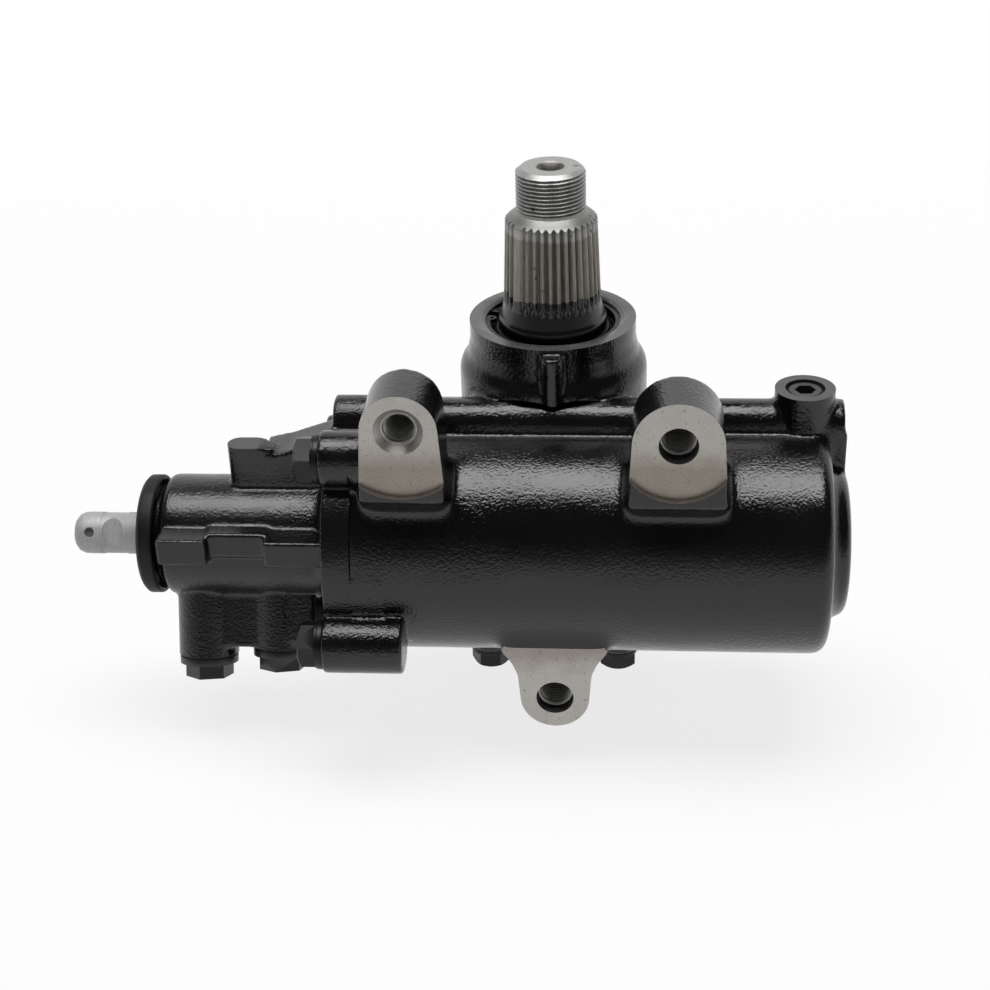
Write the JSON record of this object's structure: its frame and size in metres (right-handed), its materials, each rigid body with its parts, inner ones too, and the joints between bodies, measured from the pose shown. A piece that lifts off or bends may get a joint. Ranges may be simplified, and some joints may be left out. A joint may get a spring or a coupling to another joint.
{
  "type": "steering gearbox",
  "caption": "Integral power steering gearbox: black cast housing with bare frame pads, serrated output shaft, bolted-on valve housing with oil ports and a short notched input shaft.",
  "frame": {"origin": "mouth of the lower frame hole, in the plane of the frame pads", "axes": "+X along the piston from the input shaft to the closed end, +Y from the frame pads into the housing, +Z along the output shaft out of the housing"},
  "size_m": [0.3412, 0.1553, 0.2434],
  "materials": {
    "black_paint": "thick gloss black paint over rough cast iron",
    "black_plug": "satin black plugs",
    "black_cover": "satin black moulded rubber",
    "output_steel": "machined warm-grey steel, blackened below the serrations",
    "input_steel": "ground bright steel",
    "fastener_steel": "plain dark steel",
    "gear_steel": "ground hardened steel",
    "bearing_steel": "polished bearing steel",
    "seal_rubber": "oil-resistant rubber",
    "ring_plastic": "filled low-friction plastic",
    "gasket": "pressed fibre sheet"
  },
  "bodies": {
    "housing": {"gear_housing": "black_paint", "valve_housing": "black_paint", "side_cover": "black_paint", "valve_housing_bolts": "black_paint", "valve_housing_washers": "black_paint", "side_cover_bolts": "black_paint", "gallery_plug": "black_plug", "pressure_port_plug": "black_plug", "return_port_plug": "black_plug", "output_dust_seal": "black_cover", "lash_adjuster": "fastener_steel", "adjuster_locknut": "fastener_steel", "output_retaining_ring": "fastener_steel", "input_retaining_ring": "fastener_steel", "bearing_retainer": "fastener_steel", "worm_bearing": "bearing_steel", "sector_upper_bearing": "bearing_steel", "sector_lower_bearing": "bearing_steel", "input_bearing": "bearing_steel", "output_oil_seal": "seal_rubber", "input_oil_seal": "seal_rubber", "valve_housing_oring": "seal_rubber", "port_washers": "seal_rubber", "side_cover_gasket": "gasket"},
    "sector": {"sector_shaft": "output_steel"},
    "piston": {"rack_piston": "gear_steel", "piston_ring": "ring_plastic", "ball_return_guide": "gear_steel", "guide_clamp": "fastener_steel", "recirculating_balls": "bearing_steel"},
    "worm": {"worm_shaft": "gear_steel", "valve_sleeve": "gear_steel", "sleeve_rings": "ring_plastic", "sleeve_pin": "fastener_steel", "worm_pin": "fastener_steel"},
    "input": {"input_shaft": "input_steel", "torsion_bar": "gear_steel", "input_pin": "fastener_steel", "dust_cover": "black_cover"}
  },
  "joints": [
    {"name": "sector_turn", "type": "hinge", "parent": "housing", "child": "sector", "pos_m": [-0.0033, 0.0937, 0.055], "axis": [0, 0, 1], "range_deg": [-45, 45]},
    {"name": "piston_slide", "type": "slide", "parent": "housing", "child": "piston", "axis": [1, 0, 0], "range_m": [-0.0201, 0.0201]},
    {"name": "worm_turn", "type": "hinge", "parent": "housing", "child": "worm", "pos_m": [0, 0.0437, 0.055], "axis": [1, 0, 0], "range_deg": [-725, 725]},
    {"name": "valve_twist", "type": "hinge", "parent": "worm", "child": "input", "pos_m": [0, 0.0437, 0.055], "axis": [1, 0, 0], "range_deg": [-5, 5], "stiffness_Nm_per_rad": 58, "deforming": ["torsion_bar"]}
  ],
  "couplings": [
    {"joint": "piston_slide", "follows": "sector_turn", "m_per_rad": 0.0255},
    {"joint": "worm_turn", "follows": "sector_turn", "ratio": -16.022}
  ]
}
